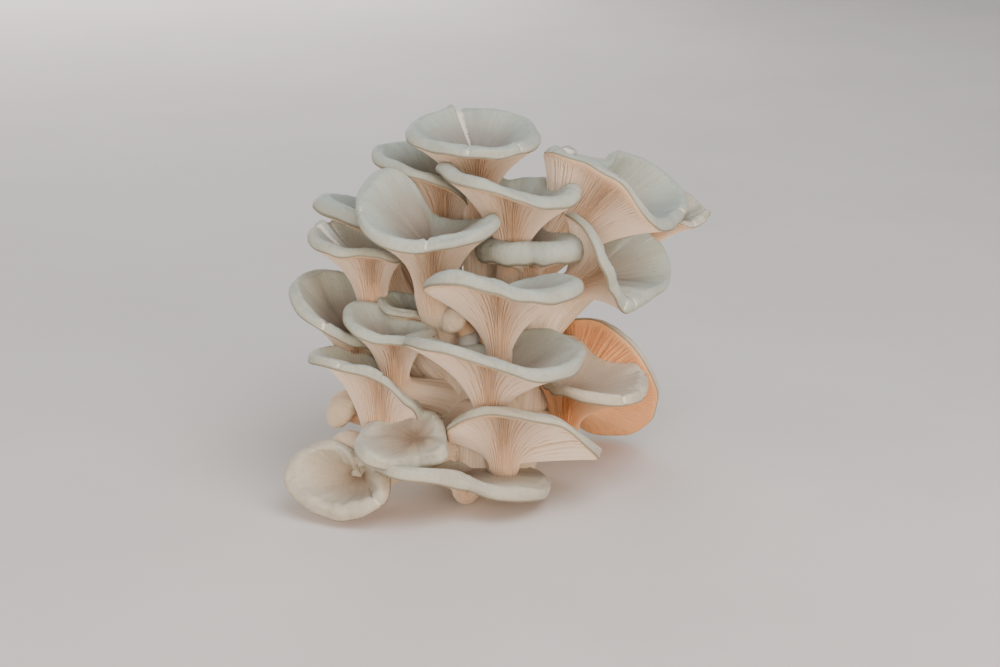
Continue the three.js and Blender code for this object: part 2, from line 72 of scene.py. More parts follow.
# One row per mushroom, as in the part's source, with what only the finished mushroom has. Places
# on a cap are given by an angle in degrees and by how far out from the throat (0) to the rim (1).
#   cream   how far the skin has paled and warmed from grey: partly its own paler tone, partly
#             painted warm bounce light on the lower mushrooms, which also turns their gills peach
#   brown   how dark and tan the inside of the bowl is: partly its own tone, partly painted shade deep in a funnel
#   gills   height of the gills, over the usual one
#   wave    waviness of the rim, over the usual one
#   tears   splits in the rim: angle, where it starts, half width in degrees
#   flaps   torn edges that lift: angle, height, width in degrees
#   folds   pleats in the bowl: angle, distance out, width in degrees, length, height
MUSHROOMS = [
    dict(name="front_low", throat=(-6, -34, 14), tilt=(0, 0),
         rim=[(35, -2.5), (34, -4), (14, 1), (21, 2), (33, 6), (42, 15), (20, 6), (31, 2.5)],
         neck=(5.5, 7), stem=(5.5, 8), root=(0, -12, 8), roll=3.4, bend=(0.5, 0.9), down=(0, 1, -0.2),
         pale_and_warm_bounce=0.45),
    dict(name="curled_left", throat=(-49, -41, 16.5), tilt=(60, -115),
         rim=[(15, 8), (11, 8), (9.5, 9), (19, 13), (29, 13), (23, 14), (20.5, 13), (21, 12)],
         neck=(6, 8), stem=(6, 7), root=(-20, -12, 12), roll=3.4, bowl=1.9,
         pale_and_warm_bounce=0.75, bowl_tan_and_shade=0.3, tears=[(312, 0.6, 1.6), (150, 0.9, 2.2)],
         folds=[(80, 0.6, 16, 0.22, 3), (40, 0.45, 14, 0.2, 2.2), (120, 0.75, 12, 0.2, 2.4)]),
    dict(name="low_inner", throat=(-26, -42, 33), tilt=(35, -90),
         rim=[(13, 1), (14, 2), (16, 1), (18, 0), (23, 5), (27, 13), (13, 0), (16, 4)],
         neck=(6, 10), stem=(6.5, 8), root=(-12, -14, 16),
         pale_and_warm_bounce=0.5, bowl_tan_and_shade=0.75,
         folds=[(200, 0.55, 18, 0.25, 1.8), (330, 0.5, 22, 0.2, 1.6), (95, 0.6, 16, 0.25, 1.6)]),
    dict(name="low_right", throat=(10, -30, 30), tilt=(0, 0),
         rim=[(40, -5), (30, -6), (12.5, -2), (22, -3), (24, 3), (24, 15), (22, 19), (33, 15)],
         neck=(6.5, 13), stem=(7.5, 9), root=(7, -12, 20),
         pale_and_warm_bounce=0.5),
    dict(name="left_low", throat=(-41, -30, 50), tilt=(0, 0),
         rim=[(19, -10), (17, -2), (14, 7), (24, 14), (29, 16), (22, 16), (16, 12), (18, 2)],
         neck=(7, 20), stem=(7, 8), root=(-18, -8, 22), flare=1.2,
         pale_and_warm_bounce=0.3, tears=[(282, 1.0, 1.6), (222, 1.3, 0.9)]),
    dict(name="centre_low", throat=(4, -36, 56), tilt=(0, 0),
         rim=[(38.5, 12), (37, 14), (15, 12), (20, 11), (34, 19), (31, 22.5), (22, 16.5), (33, 11.5)],
         neck=(6, 14), stem=(7, 9), root=(-2, -14, 30), bowl=1.2,
         pale_and_warm_bounce=0.2, folds=[(50, 0.65, 16, 0.25, 1.2)]),
    dict(name="left_cup", throat=(-35, -24, 67), tilt=(0, 0),
         rim=[(17, 7), (15, 8), (12, 10), (21, 15), (21, 14.5), (20, 10.5), (17, 8.5), (15, 8)],
         neck=(6, 14), stem=(6.5, 8), root=(-13, -5, 32), roll=2.4,
         pale_and_warm_bounce=0.15, bowl_tan_and_shade=0.3),
    dict(name="centre", throat=(8, -28, 84), tilt=(0, 0),
         rim=[(34, 12.5), (26, 9), (14, 5), (22, 4), (30, 12), (31, 21.5), (22, 16.5), (27, 13)],
         neck=(5.5, 18), stem=(6, 8), root=(4, -6, 36), roll=3.8, bowl=1.1),
    dict(name="left_lobe", throat=(-51, -8, 67), tilt=(0, 0),
         rim=[(11, 4), (15, 10), (20, 17), (28, 22), (28, 20), (25, 12), (18, 4), (12, 0)],
         neck=(6.5, 16), stem=(6.5, 8), root=(-19, 3, 26), roll=2.6,
         pale_and_warm_bounce=0.25, bowl_tan_and_shade=0.7, tears=[(236, 0.95, 1.4), (252, 1.1, 1)]),
    dict(name="big_funnel", throat=(-19, -14, 104), tilt=(0, 0),
         rim=[(28, 16), (25, 9), (18, 12), (25, 31), (31, 26), (31, 13.5), (22, 10.5), (27, 14)],
         neck=(8, 16), stem=(7.5, 9), root=(-8, 0, 40), bowl=0.8,
         bowl_tan_and_shade=0.6, tears=[(264, 0.95, 1), (282, 1.2, 0.8), (200, 1.3, 0.8)]),
    dict(name="left_folded", throat=(-45, -2, 96), tilt=(0, 0),
         rim=[(13, 6), (15, 7), (16, 10), (26, 14), (26, 12), (23, 11), (16, 9.5), (16, 6.5)],
         neck=(6.5, 16), stem=(6.5, 8), root=(-17, 8, 34), roll=2.6,
         pale_and_warm_bounce=0.3, bowl_tan_and_shade=0.35, flaps=[(150, 2, 12)], tears=[(160, 0.5, 5), (140, 0.8, 3)]),
    dict(name="upper_middle", throat=(13, 2, 115), tilt=(0, 0),
         rim=[(30, 13), (27, 12), (20, 11), (25, 15), (31, 23), (29, 21.5), (24, 16.5), (25, 11.5)],
         neck=(6, 18), stem=(6, 8), root=(10, 4, 40), roll=3.4,
         tears=[(8, 0.82, 3.5), (352, 0.88, 1.6)], folds=[(60, 0.8, 14, 0.25, 1.2)]),
    dict(name="crown", throat=(-1, 15, 136), tilt=(0, 0),
         rim=[(26, 11), (29, 13), (27, 16), (26, 16), (30, 13), (27, 11.5), (26, 10.5), (26, 9.5)],
         neck=(6, 20), stem=(6.5, 8), root=(0, 12, 40), roll=2.8, bowl=1.2,
         flaps=[(116, 3, 14)], tears=[(112, 0.3, 8), (262, 1.0, 1.5), (300, 1.3, 1), (318, 1.1, 1.6)]),
    dict(name="right_fold", throat=(49, 4, 89), tilt=(58, -15),
         rim=[(25, 14), (42, 19), (18, 18), (32, 3), (24.5, 12), (22, 14), (16.5, 10), (20, 7.5)],
         neck=(7, 12), stem=(8, 10), root=(18, 2, 32),
         tears=[(312, 0.88, 3.5), (330, 0.88, 3), (60, 0.9, 1.6)],
         folds=[(345, 0.7, 12, 0.2, 1.6), (15, 0.6, 10, 0.25, 1.4)]),
    dict(name="right_upper", throat=(41, 14, 109), tilt=(40, 0),
         rim=[(33, 27), (44, 35), (25, 32), (12, 27), (30, 18), (24, 26.5), (22, 29), (28, 25)],
         neck=(8, 22), stem=(9, 11), root=(18, 10, 36),
         flaps=[(166, 2.5, 9), (184, -2, 5)],
         tears=[(170, 0.85, 4), (190, 0.88, 3), (20, 0.88, 2.2), (262, 0.93, 1.2)],
         folds=[(20, 0.62, 16, 0.16, 3.2), (52, 0.6, 14, 0.2, 2.2), (95, 0.7, 9, 0.3, 1.4)]),
    dict(name="right_back", throat=(77, 36, 100), tilt=(50, 5),
         rim=[(11, 17), (13, 20), (16, 19), (13, 14), (9, 9), (8, 7), (8, 8), (10, 12)],
         neck=(4.5, 10), stem=(6, 8), root=(18, 18, 34), roll=1.8,
         pale_and_warm_bounce=0.5, gills=0.6, flaps=[(350, 2.5, 10), (25, 2, 8)],
         tears=[(330, 0.8, 6), (10, 0.8, 6), (40, 0.85, 5)]),
    dict(name="right_low", throat=(36, -5, 40), tilt=(0, 0),
         rim=[(35, 5), (37, 9), (28, 17), (14, 17), (13, 10), (11, 7), (20, 8), (32, 6.5)],
         neck=(6.5, 14), stem=(7, 9), root=(17, -2, 22),
         pale_and_warm_bounce=0.85, tears=[(318, 0.9, 2), (342, 0.88, 2.2), (20, 0.9, 2)],
         folds=[(60, 0.6, 16, 0.25, 1.2)]),
    dict(name="back_right", throat=(42, 26, 31), tilt=(70, 55),
         rim=[(33.5, 15), (34, 16), (33, 13), (18, 6), (14, 4), (23, 11), (33, 13), (36, 12)],
         neck=(8, 10), stem=(8, 10), root=(16, 14, 18),
         pale_and_warm_bounce=0.9, gills=0.35),
    dict(name="back_left", throat=(-15, 22, 118), tilt=(0, 0),
         rim=[(19, 3), (20, 12), (22, 17), (29, 19), (31, 20), (26, 17), (20, 12), (15, 3)],
         neck=(6, 18), stem=(6, 7), root=(-6, 16, 38), roll=2.6,
         bowl_tan_and_shade=0.6),
    dict(name="left_back_roll", throat=(-40, 24, 102), tilt=(0, 0),
         rim=[(17, 3), (15, 5), (16, 6), (28, 11), (31, 16), (25, 14), (16, 7), (13, 2)],
         neck=(6, 14), stem=(6, 7), root=(-14, 16, 34), roll=4.4),
    dict(name="middle_back", throat=(21, 0, 103.5), tilt=(0, 0),
         rim=[(22.5, 3), (24, 4), (20, 5), (24, 4), (23, 3), (19, 3), (12.5, 2.5), (19, 3)],
         neck=(5, 12), stem=(4.8, 6), root=(16, 0, 40), roll=5, bowl=1,
         wave=0.2),
    dict(name="left_small", throat=(-26, -6, 70.5), tilt=(0, 0),
         rim=[(8, 2), (9, 6), (11, 9), (15, 11), (17, 12), (16.5, 10), (10, 7), (8.5, 3)],
         neck=(3.5, 9), stem=(4.5, 6), root=(-11, 0, 36), roll=2.2,
         bowl_tan_and_shade=0.3),
    dict(name="back_high", throat=(12, 40, 104), tilt=(24, 75),
         rim=[(22, 8), (24, 10), (26, 11), (24, 9), (22, 10), (20, 12), (18, 12), (20, 10)],
         neck=(6, 16), stem=(6, 8), root=(6, 20, 36)),
    dict(name="back_mid", throat=(-26, 42, 76), tilt=(30, 115),
         rim=[(22, 8), (24, 9), (28, 8), (26, 10), (24, 11), (20, 10), (18, 12), (20, 10)],
         neck=(6.5, 16), stem=(6.5, 8), root=(-10, 20, 30)),
    dict(name="back_low", throat=(4, 46, 48), tilt=(42, 85),
         rim=[(24, 6), (26, 8), (28, 10), (26, 7), (24, 8), (20, 9), (16, 10), (20, 8)],
         neck=(7, 14), stem=(7, 9), root=(2, 20, 22),
         pale_and_warm_bounce=0.3),
    dict(name="back_side", throat=(-36, 26, 42), tilt=(44, 160),
         rim=[(14, 6), (15, 7), (17, 9), (18, 8), (19, 7), (18, 8), (15, 7), (14, 5)],
         neck=(6, 14), stem=(6, 8), root=(-18, 12, 20),
         pale_and_warm_bounce=0.3),
    dict(name="left_bud", throat=(-61.5, -12, 38.5), tilt=(50, 200),
         rim=button(9.5, -3.5),
         neck=(4.4, 8), stem=(4.5, 6), root=(-20, -2, 20), roll=2.2, bowl=2,
         pale_and_warm_bounce=1.0),
    dict(name="low_bud", throat=(-55, -35, 31.5), tilt=(25, -110),
         rim=button(7, -2.5),
         neck=(3.8, 7), stem=(4.5, 6), root=(-20, -10, 14), roll=2.2, bowl=2,
         pale_and_warm_bounce=0.9),
    dict(name="centre_bud", throat=(-13, -22, 80), tilt=(45, 215),
         rim=button(6.4, -2.2),
         neck=(3.8, 8), stem=(4, 5), root=(1, -5, 42), roll=2.2, bowl=2,
         pale_and_warm_bounce=0.7),
    dict(name="small_bud", throat=(-7, -21, 69), tilt=(45, 215),
         rim=button(5.4, -1.8),
         neck=(3.6, 8), stem=(4, 5), root=(3, -7, 40), roll=1.8, bowl=2,
         pale_and_warm_bounce=0.35),
]


# ---------------------------------------------------------------- shape of one mushroom

def unit(v):
    v = np.asarray(v, float)
    return v / np.linalg.norm(v, axis=-1, keepdims=True)


def smooth(x, low=0.0, high=1.0):
    t = np.clip((np.asarray(x, float) - low) / (high - low), 0, 1)
    return t * t * (3 - 2 * t)


def around(values, angle):
    """Smooth closed curve through evenly spaced values, read at each angle."""
    values = np.asarray(values, float)
    count = len(values)
    position = (np.asarray(angle) / (2 * math.pi) * count) % count
    index = np.floor(position).astype(int) % count
    t = position - np.floor(position)
    a, b, c, d = (values[(index + step) % count] for step in (-1, 0, 1, 2))
    return b + 0.5 * t * (c - a + t * (2 * a - 5 * b + 4 * c - d + t * (3 * (b - c) + d - a)))


def wobble(angle, along, seed, waves, turns=3.0):
    """Smooth random height between about -1 and 1, closed round the angle."""
    rng = np.random.default_rng(seed)
    total = 0
    for count in waves:
        phase, drift = rng.uniform(0, 2 * math.pi), rng.uniform(-turns, turns)
        total = total + np.cos(count * angle + phase + drift * along)
    return total / math.sqrt(len(waves))


def turn_between(a, b):
    cross = np.cross(a, b)
    k = np.array([[0, -cross[2], cross[1]], [cross[2], 0, -cross[0]], [-cross[1], cross[0], 0]])
    return np.eye(3) + k + k @ k / (1 + a @ b)


class Mushroom:
    """Curves of one mushroom: any point of its bowl, rolled rim, gills and stem, in millimetres."""

    def __init__(self, row, seed):
        self.row, self.seed = row, seed
        lean, heading = (math.radians(v) for v in row["tilt"])
        side = math.sin(lean)
        self.axis = np.array([side * math.cos(heading), side * math.sin(heading), math.cos(lean)])
        self.right = unit(np.array([1.0, 0, 0]) - self.axis[0] * self.axis)
        self.back = np.cross(self.axis, self.right)
        self.throat = np.array(row["throat"], float)
        self.roll = row.get("roll", ROLL) * PLUMP
        self.bowl = row.get("bowl", BOWL)
        self.neck_radius, self.neck_depth = row["neck"]
        self.size = max(reach for reach, _ in row["rim"])
        self.open = self.size > 10
        self.stem_curve()
        self.neck_ridge = float(np.mean(self.gill_depth(np.linspace(0, 6.28, 24), 1.0)))

    def rim(self, angle):
        """Edge of the bowl where the rim starts to roll: reach, height, slope and roll radius."""
        reach = around([r for r, _ in self.row["rim"]], angle)
        height = around([h for _, h in self.row["rim"]], angle)
        wave = RIM_WAVE * min(1.0, self.size / 30) * self.row.get("wave", 1.0)
        reach = reach + wave * wobble(angle, 0, self.seed + 1, (4, 5, 7, 11))
        height = height + wave * wobble(angle, 0, self.seed + 2, (3, 4, 6, 9))
        roll = self.roll * (1 + 0.07 * wobble(angle, 0, self.seed + 3, (2, 4, 7, 12)))
        for centre, rise, width in self.row.get("flaps", ()):
            off = (np.degrees(angle) - centre + 180) % 360 - 180
            height = height + rise * np.where(off > 0, np.exp(-np.abs(off) / width), smooth(off, -2.5, 0))
        slope = np.arctan2(height * self.bowl, reach)
        edge = reach - roll * (1 + np.sin(slope))
        lift = height - roll * (1 - np.cos(slope))
        return edge, lift, slope, roll

    def bowl_point(self, angle, s):
        edge, lift, _, _ = self.rim(angle)
        pit = 0.12
        eased = (np.sqrt(s * s + pit * pit) - pit) / (math.sqrt(1 + pit * pit) - pit)
        return edge * s, lift * eased ** self.bowl

    def roll_point(self, angle, t):
        edge, lift, slope, roll = self.rim(angle)
        turn = slope - ROLL_ANGLE * t
        return edge + roll * (np.sin(slope) - np.sin(turn)), lift - roll * (np.cos(slope) - np.cos(turn))

    def gill_point(self, angle, t):
        """Edge line of the gills: radius, height, and the direction out of the flesh."""
        radius, height = self.roll_point(angle, 1.0)
        neck, depth = self.neck_radius, self.neck_depth
        radius = np.maximum(radius, neck + 0.6)
        drop = height + depth
        flare = self.row.get("flare", FLARE)
        knots = ((radius, height), ((radius + neck) / 2, height - drop * (0.5 - 0.42 * flare)),
                 (neck + (radius - neck) * 0.12, drop * 0.45 - depth), (neck, -depth))
        weights = ((1 - t) ** 3, 3 * t * (1 - t) ** 2, 3 * t * t * (1 - t), t ** 3)
        slopes = (-3 * (1 - t) ** 2, 3 * (1 - t) * (1 - 3 * t), 3 * t * (2 - 3 * t), 3 * t * t)
        r, z = (sum(w * knot[i] for w, knot in zip(weights, knots)) for i in (0, 1))
        dr, dz = (sum(w * knot[i] for w, knot in zip(slopes, knots)) for i in (0, 1))
        length = np.hypot(dr, dz) + 1e-9
        return r, z, -dz / length, dr / length

    def gill_depth(self, angle, t):
        """Height of the blades: none at the rim, full under the cap, low at the neck."""
        r, z, _, steep = self.gill_point(angle, t)
        edge, lift, _, _ = self.rim(angle)
        over = lift * np.clip(r / edge, 0, 1) ** self.bowl
        thick = (over - z) * np.maximum(np.abs(steep), 0.12)
        room = np.clip(0.42 * thick, 0.1, GILL_DEPTH * self.row.get("gills", 1.0))
        share = smooth(t, -0.02, 0.16) * (1 - 0.55 * smooth(t, 0.45, 1.0))
        return room * share * (1.0 if self.open else 0.3)

    def place(self, angle, r, z):
        flat = (np.asarray(r * np.cos(angle))[..., None] * self.right
                + np.asarray(r * np.sin(angle))[..., None] * self.back)
        return self.throat + flat + np.asarray(z)[..., None] * self.axis

    def lean_out(self, angle, nr, nz):
        flat = (np.asarray(nr * np.cos(angle))[..., None] * self.right
                + np.asarray(nr * np.sin(angle))[..., None] * self.back)
        return unit(flat + np.asarray(nz)[..., None] * self.axis)

    def stem_curve(self):
        row = self.row
        self.neck = self.throat - self.neck_depth * self.axis
        self.root = np.array(row["root"], float)
        span = np.linalg.norm(self.root - self.neck)
        leave, enter = row.get("bend", BEND)
        self.leave = -self.axis * span * leave
        self.enter = unit(row.get("down", DOWN)) * span * enter

    def stem_frame(self, t):
        centre = ((2 * t ** 3 - 3 * t * t + 1) * self.neck + (t ** 3 - 2 * t * t + t) * self.leave
                  + (3 * t * t - 2 * t ** 3) * self.root + (t ** 3 - t * t) * self.enter)
        along = unit((6 * t * t - 6 * t) * self.neck + (3 * t * t - 4 * t + 1) * self.leave
                     + (6 * t - 6 * t * t) * self.root + (3 * t * t - 2 * t) * self.enter)
        turn = turn_between(self.axis, -along)
        return centre, turn @ self.right, turn @ self.back

    def stem_radius(self, t):
        middle, root = self.row["stem"]
        plain = self.neck_radius * (1 - t) * (1 - 2 * t) + 4 * middle * t * (1 - t) + root * t * (2 * t - 1)
        return plain * (1 + 0.18 * smooth(t, 0.72, 1.0))

    def ridge_depth(self, t):
        """Height of the gill ridges that run down the stem."""
        return self.neck_ridge * (1 - smooth(t, 0.0, RUN_DOWN))

    def stem_point(self, angle, t, inset=0.0):
        centre, right, back = self.stem_frame(t)
        radius = self.stem_radius(t) - self.ridge_depth(t) * inset
        uneven = wobble(angle, 4 * t, self.seed + 5, (2, 3, 5), 2.0) * smooth(t, 0, 0.4)
        radius = radius * (1 + 0.05 * uneven)
        out = np.cos(angle)[..., None] * right + np.sin(angle)[..., None] * back
        return centre + radius[..., None] * out, out


# ---------------------------------------------------------------- meshes

def grid_faces(rings, sides):
    """Quads over a stack of closed rings, with a fan over each end. The fans use two extra points."""
    i, j = np.meshgrid(np.arange(rings - 1), np.arange(sides), indexing="ij")
    k = (j + 1) % sides
    a, b, c, d = i * sides + j, (i + 1) * sides + j, (i + 1) * sides + k, i * sides + k
    quads = np.stack([a, b, c, d], -1).reshape(-1, 4)
    j = np.arange(sides)
    k = (j + 1) % sides
    top, bottom, last = rings * sides, rings * sides + 1, (rings - 1) * sides
    fans = np.concatenate([np.stack([np.full(sides, top), j, k], -1),
                           np.stack([np.full(sides, bottom), last + k, last + j], -1)])
    return quads, fans


def grid_normals(points):
    along = np.gradient(points, axis=0)
    wrapped = np.concatenate([points[:, -1:], points, points[:, :1]], axis=1)
    across = (wrapped[:, 2:] - wrapped[:, :-2]) / 2
    return unit(np.cross(along, across) + 1e-12)


def make_mesh(name, points, faces, attributes, slots, slot_index, flat=None):
    """Mesh from arrays in millimetres. attributes maps a name to one value or vector per point."""
    mesh = bpy.data.meshes.new(name)
    mesh.from_pydata((np.asarray(points) * MM).tolist(), [], faces)
    for key, values in attributes.items():
        values = np.asarray(values, np.float32)
        kind = "FLOAT_VECTOR" if values.ndim == 2 else "FLOAT"
        layer = mesh.attributes.new(key, kind, "POINT")
        layer.data.foreach_set("vector" if values.ndim == 2 else "value", values.ravel())
    for material in slots:
        mesh.materials.append(material)
    mesh.polygons.foreach_set("material_index", np.asarray(slot_index, np.int32))
    shade = np.ones(len(faces), bool) if flat is None else ~np.asarray(flat)
    mesh.polygons.foreach_set("use_smooth", shade)
    mesh.update()
    thing = bpy.data.objects.new(name, mesh)
    bpy.context.scene.collection.objects.link(thing)
    return thing


def skin_grid(shape):
    """Points of the whole skin with its attributes: along, grain, torn and ring numbers."""
    row, seed = shape.row, shape.seed
    angle = np.linspace(0, 2 * math.pi, SIDES, endpoint=False)
    rings, along = [], []
    for s in 1 - (1 - np.linspace(0.03, 1, BOWL_RINGS)) ** 1.15:
        rings.append(shape.place(angle, *shape.bowl_point(angle, s)))
        along.append(s)
    for t in np.linspace(0, 1, ROLL_RINGS + 1)[1:]:
        rings.append(shape.place(angle, *shape.roll_point(angle, t)))
        along.append(1 + t)
    for t in np.linspace(0, 1, GILL_RINGS + 1)[1:]:
        r, z, nr, nz = shape.gill_point(angle, t)
        depth = shape.gill_depth(angle, t)
        rings.append(shape.place(angle, r - depth * nr, z - depth * nz))
        along.append(2 + t)
    for t in np.linspace(0, 1, STEM_RINGS + 1)[1:]:
        rings.append(shape.stem_point(angle, t, 1.0)[0])
        along.append(3 + t)
    points, along = np.array(rings), np.array(along)
    sheet = along[:, None] * np.ones(SIDES)

    torn = np.zeros_like(sheet)
    for centre, start, half in row.get("tears", ()):
        off = np.abs((np.degrees(angle) - centre + 180) % 360 - 180) / half
        inside = smooth(sheet, start - 0.06, start + 0.04) * (1 - smooth(sheet, 1.75, 2.0))
        torn = np.maximum(torn, np.clip(1 - off, 0, 1)[None, :] * inside)
    normals = grid_normals(points)
    cap = 1 - smooth(sheet, 1.5, 2.0)
    fine = wobble(angle[None, :], 3 * sheet, seed + 11, (17, 23, 31, 38), 4.0)
    slow = wobble(angle[None, :], 4 * sheet, seed + 12, (2, 3, 4, 6), 3.0)
    spread = np.clip(sheet, 0, 1) ** 1.5
    ridges = wobble(angle[None, :], 2 * sheet, seed + 13, (9, 13, 19), 1.0)
    wrinkles = WRINKLE * fine * smooth(sheet, 0.2, 0.9) + SWELL * slow * min(1, shape.size / 25)
    lift = cap * spread * wrinkles + smooth(sheet, 3.1, 3.5) * STEM_RIDGE * ridges
    for centre, middle, wide, long, rise in row.get("folds", ()):
        off = ((np.degrees(angle) - centre + 180) % 360 - 180)[None, :] / wide
        lift = lift + rise * np.exp(-off ** 2 - ((sheet - middle) / long) ** 2)
    lift = lift - TEAR_DEPTH * torn
    points = points + lift[..., None] * normals
    turn = angle[None, :] * np.ones_like(sheet)
    grain = np.stack([np.cos(turn), np.sin(turn), sheet + seed * 0.37], -1)
    return points, sheet, grain, torn


def gill_guides(shape):
    """Guide lines of the gill blades on the valley between them, with rise and depth per point."""
    rng = np.random.default_rng(shape.seed + 21)
    count = max(18, int(2 * math.pi * shape.neck_radius / GILL_SPACING))
    tiers = ((count, 0.0, 1.0, 15, True), (count, 0.5, 0.8, 12, False),
             (2 * count, 0.25, 0.5, 9, False), (4 * count, 0.125, 0.2, 5, False))
    points, edges, rise, depth, along, first = [], [], [], [], [], 0
    for number, shift, stop, steps, runs_down in tiers:
        start = (np.arange(number) + shift) / number * 2 * math.pi
        start = start + rng.uniform(-0.18, 0.18, number) * 2 * math.pi / number
        for angle in start:
            end = stop if runs_down else stop * rng.uniform(0.8, 1.15)
            sway = rng.uniform(-0.02, 0.02)
            t = np.linspace(0.01, end, steps)
            a = angle + sway * np.sin(5 * t)
            r, z, nr, nz = shape.gill_point(a, t)
            tall = shape.gill_depth(a, t) * (1.12 if runs_down else 1.0)
            fade = 1.0 if runs_down else 1 - smooth(t, end - 0.22, end)
            line = [shape.place(a, r - tall * nr, z - tall * nz)]
            out, high, place = [shape.lean_out(a, nr, nz)], [tall * fade], [2 + t]
            if runs_down:
                for t in np.linspace(0, RUN_DOWN * rng.uniform(0.6, 1.0), 8)[1:]:
                    foot, away = shape.stem_point(np.array([angle + sway * math.sin(5)]), t, 1.0)
                    line.append(foot)
                    out.append(away)
                    high.append([float(shape.ridge_depth(t)) * 1.12])
                    place.append([3 + t])
            points += line
            rise += out
            depth += high
            along += place
            total = sum(len(part) for part in line)
            edges += [(first + i, first + i + 1) for i in range(total - 1)]
            first += total
    joined = [np.concatenate(part) for part in (points, rise, depth, along)]
    return joined[0], edges, joined[1], np.maximum(joined[2], 0.03), joined[3]


def blade_tree(material):
    """Geometry Nodes tree that turns guide lines into tapered three-sided gill blades."""
    tree = bpy.data.node_groups.new("gill_blades", "GeometryNodeTree")
    face = tree.interface
    face.new_socket("Guides", in_out="INPUT", socket_type="NodeSocketGeometry")
    wedge = face.new_socket("Half thickness over height", in_out="INPUT", socket_type="NodeSocketFloat")
    bury = face.new_socket("Buried foot over height", in_out="INPUT", socket_type="NodeSocketFloat")
    face.new_socket("Blades", in_out="OUTPUT", socket_type="NodeSocketGeometry")
    source = add(tree, "NodeGroupInput")
    rise = add(tree, "GeometryNodeInputNamedAttribute", {"data_type": "FLOAT_VECTOR"}, Name="rise")
    depth = add(tree, "GeometryNodeInputNamedAttribute", {"data_type": "FLOAT"}, Name="depth")
    curve = add(tree, "GeometryNodeMeshToCurve", Mesh=source.outputs["Guides"])
    upright = add(tree, "GeometryNodeSetCurveNormal", {"mode": "FREE"}, Curve=curve.outputs["Curve"],
                  Normal=rise.outputs["Attribute"])
    ring = add(tree, "GeometryNodeCurvePrimitiveCircle", {"mode": "RADIUS"}, Resolution=3, Radius=2 / 3)
    scale = add(tree, "ShaderNodeCombineXYZ", X=1.0, Y=source.outputs["Half thickness over height"], Z=1.0)
    foot = {"0": 1 / 3, "1": source.outputs["Buried foot over height"]}
    lower = add(tree, "ShaderNodeMath", {"operation": "SUBTRACT"}, **foot)
    shift = add(tree, "ShaderNodeCombineXYZ", X=lower.outputs[0], Y=0.0, Z=0.0)
    section = add(tree, "GeometryNodeTransform", Geometry=ring.outputs["Curve"],
                  Scale=scale.outputs["Vector"], Translation=shift.outputs["Vector"])
    where = add(tree, "GeometryNodeInputPosition")
    split = add(tree, "ShaderNodeSeparateXYZ", Vector=where.outputs["Position"])
    marked = add(tree, "GeometryNodeStoreNamedAttribute", {"data_type": "FLOAT", "domain": "POINT"},
                 Geometry=section.outputs["Geometry"], Name="edge", Value=split.outputs["X"])
    blades = add(tree, "GeometryNodeCurveToMesh", **{"Curve": upright.outputs["Curve"],
                 "Profile Curve": marked.outputs["Geometry"], "Scale": depth.outputs["Attribute"],
                 "Fill Caps": True})
    real = add(tree, "GeometryNodeRealizeInstances", Geometry=blades.outputs["Mesh"])
    dressed = add(tree, "GeometryNodeSetMaterial", Geometry=real.outputs["Geometry"], Material=material)
    add(tree, "NodeGroupOutput", Blades=dressed.outputs["Geometry"])
    return tree, {"wedge": wedge.identifier, "bury": bury.identifier}


def gill_blades(shape, tree, sockets):
    """Points, faces and attributes of the gill blades of one mushroom."""
    points, edges, rise, depth, along = gill_guides(shape)
    guide = bpy.data.meshes.new("guides")
    guide.from_pydata((np.array(points) * MM).tolist(), edges, [])
    layer = guide.attributes.new("rise", "FLOAT_VECTOR", "POINT")
    layer.data.foreach_set("vector", np.array(rise, np.float32).ravel())
    for key, values in (("depth", np.array(depth) * MM), ("along", along)):
        guide.attributes.new(key, "FLOAT", "POINT").data.foreach_set("value", np.array(values, np.float32))
    holder = bpy.data.objects.new("guides", guide)
    bpy.context.scene.collection.objects.link(holder)
    modifier = holder.modifiers.new("blades", "NODES")
    modifier.node_group = tree
    modifier[sockets["wedge"]] = GILL_WEDGE
    modifier[sockets["bury"]] = 0.12
    ready = holder.evaluated_get(bpy.context.evaluated_depsgraph_get())
    mesh = bpy.data.meshes.new_from_object(ready)
    holder.modifiers.clear()
    place = np.empty(len(mesh.vertices) * 3, np.float32)
    mesh.vertices.foreach_get("co", place)
    faces = [tuple(p.vertices) for p in mesh.polygons]
    facts = {}
    for key in ("along", "edge"):
        facts[key] = np.empty(len(mesh.vertices), np.float32)
        mesh.attributes[key].data.foreach_get("value", facts[key])
    bpy.data.objects.remove(holder)
    bpy.data.meshes.remove(mesh)
    bpy.data.meshes.remove(guide)
    return place.reshape(-1, 3) / MM, faces, facts


